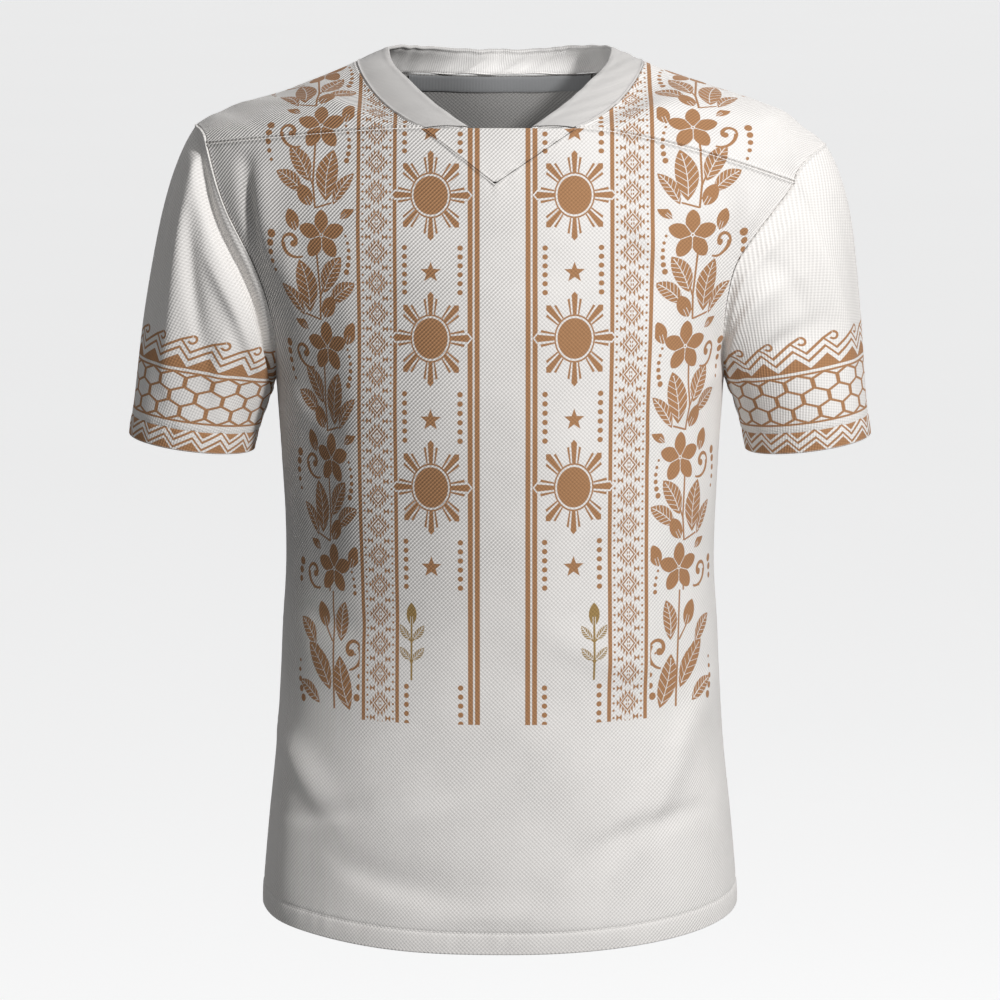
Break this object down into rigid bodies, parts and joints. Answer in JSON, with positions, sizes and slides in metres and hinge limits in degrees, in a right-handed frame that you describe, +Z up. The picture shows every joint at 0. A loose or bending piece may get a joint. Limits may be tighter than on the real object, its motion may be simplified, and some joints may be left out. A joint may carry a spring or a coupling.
{
  "type": "rugby shirt",
  "caption": "Short-sleeved rugby shirt with a rib neckband, V insert and shoulder yokes, filled out as worn, with a tan printed front and sleeve bands on off-white cloth.",
  "frame": {"origin": "middle of the neck, level with the points where the shoulders meet the neckband, where the wearer's neck and shoulders hold the shirt", "axes": "+X to the wearer's left, -Y out of the front, +Y out of the back, +Z up"},
  "size_m": [0.5988, 0.2514, 0.7088],
  "materials": {
    "cloth_front": "off-white polyester twill with a tan print",
    "cloth_back": "off-white polyester twill, plain",
    "cloth_sleeves": "off-white polyester twill with tan printed bands",
    "rib": "off-white fine rib knit",
    "tape": "grey woven neck tape"
  },
  "bodies": {
    "root": {"front_panel": "cloth_front", "back_panel": "cloth_back", "yoke_right": "cloth_front", "yoke_left": "cloth_front", "sleeve_right": "cloth_sleeves", "sleeve_left": "cloth_sleeves", "neckband": "rib", "neck_insert": "cloth_front", "neck_tape": "tape"}
  },
  "joints": []
}
